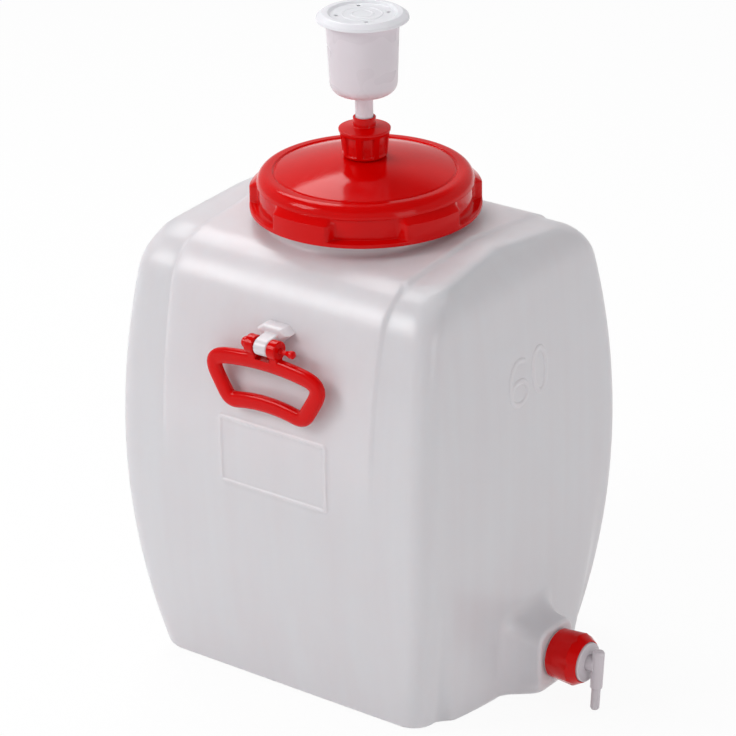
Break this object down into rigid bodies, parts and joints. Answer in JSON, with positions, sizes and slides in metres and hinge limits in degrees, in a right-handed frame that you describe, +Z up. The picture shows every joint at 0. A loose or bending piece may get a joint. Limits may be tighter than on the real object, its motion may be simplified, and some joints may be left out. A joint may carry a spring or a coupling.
{
  "type": "beverage barrel",
  "caption": "Free-standing translucent plastic beverage barrel with a wide screw lid, a bubbler airlock on top, swinging carry handles on its broad faces and a turning drain tap.",
  "frame": {"origin": "centre of the barrel's flat base, on the surface it stands on", "axes": "+Z up along the neck and airlock; +X points out of the drain tap; the handles hang on the broad faces at -Y and +Y"},
  "size_m": [0.5026, 0.397, 0.7173],
  "materials": {
    "milky_plastic": "milky blow moulded polyethylene with a soft sheen",
    "red_plastic": "glossy injection moulded plastic",
    "clear_plastic": "translucent injection moulded plastic",
    "tap_plastic": "natural translucent moulded plastic",
    "pale_rubber": "pale sealing rubber"
  },
  "bodies": {
    "barrel": {"barrel_body": "milky_plastic"},
    "lid_lift": {"lid_seal": "pale_rubber"},
    "lid": {"lid": "red_plastic"},
    "airlock_lift": {"airlock_seal": "pale_rubber"},
    "airlock_cap": {"airlock_cap": "red_plastic"},
    "airlock_cup": {"airlock_cup": "clear_plastic"},
    "airlock_bell": {"airlock_bell": "clear_plastic"},
    "airlock_cover": {"airlock_cover": "clear_plastic"},
    "handle_front": {"handle_front": "red_plastic", "handle_pin_front": "red_plastic"},
    "handle_rear": {"handle_rear": "red_plastic", "handle_pin_rear": "red_plastic"},
    "tap": {"tap_body": "tap_plastic", "tap_seal": "pale_rubber"},
    "tap_nut": {"tap_nut": "red_plastic"},
    "tap_spout": {"tap_spout": "tap_plastic", "tap_o_ring": "pale_rubber"}
  },
  "joints": [
    {"name": "lid_rise", "type": "slide", "parent": "barrel", "child": "lid_lift", "axis": [0, 0, 1], "range_m": [0, 0.0361]},
    {"name": "lid_turn", "type": "hinge", "parent": "lid_lift", "child": "lid", "pos_m": [0, 0, 0.52], "axis": [0, 0, 1], "range_deg": [0, 1620]},
    {"name": "airlock_rise", "type": "slide", "parent": "lid", "child": "airlock_lift", "axis": [0, 0, 1], "range_m": [0, 0.0196]},
    {"name": "cap_turn", "type": "hinge", "parent": "airlock_lift", "child": "airlock_cap", "pos_m": [0, 0, 0.58], "axis": [0, 0, 1], "range_deg": [0, 2340]},
    {"name": "stem_slide", "type": "slide", "parent": "airlock_lift", "child": "airlock_cup", "axis": [0, 0, 1], "range_m": [-0.024, 0.034]},
    {"name": "bell_rise", "type": "slide", "parent": "airlock_cup", "child": "airlock_bell", "axis": [0, 0, 1], "range_m": [0, 0.024]},
    {"name": "cover_lift", "type": "slide", "parent": "airlock_cup", "child": "airlock_cover", "axis": [0, 0, 1], "range_m": [0, 0.02]},
    {"name": "handle_front_swing", "type": "hinge", "parent": "barrel", "child": "handle_front", "pos_m": [0.0095, -0.188, 0.415], "axis": [-1, 0, 0], "range_deg": [-2, 150]},
    {"name": "handle_rear_swing", "type": "hinge", "parent": "barrel", "child": "handle_rear", "pos_m": [0.0095, 0.188, 0.415], "axis": [1, 0, 0], "range_deg": [-2, 150]},
    {"name": "tap_draw", "type": "slide", "parent": "barrel", "child": "tap", "axis": [1, 0, 0], "range_m": [0, 0.0241]},
    {"name": "nut_turn", "type": "hinge", "parent": "tap", "child": "tap_nut", "pos_m": [0.26, 0, 0.051], "axis": [1, 0, 0], "range_deg": [0, 2160]},
    {"name": "spout_turn", "type": "hinge", "parent": "tap", "child": "tap_spout", "pos_m": [0.293, 0, 0.051], "axis": [1, 0, 0], "continuous": true}
  ],
  "couplings": [
    {"joint": "lid_rise", "follows": "lid_turn", "m_per_rad": 0.0012732},
    {"joint": "airlock_rise", "follows": "cap_turn", "m_per_rad": 0.00047746},
    {"joint": "tap_draw", "follows": "nut_turn", "m_per_rad": 0.00063662}
  ]
}
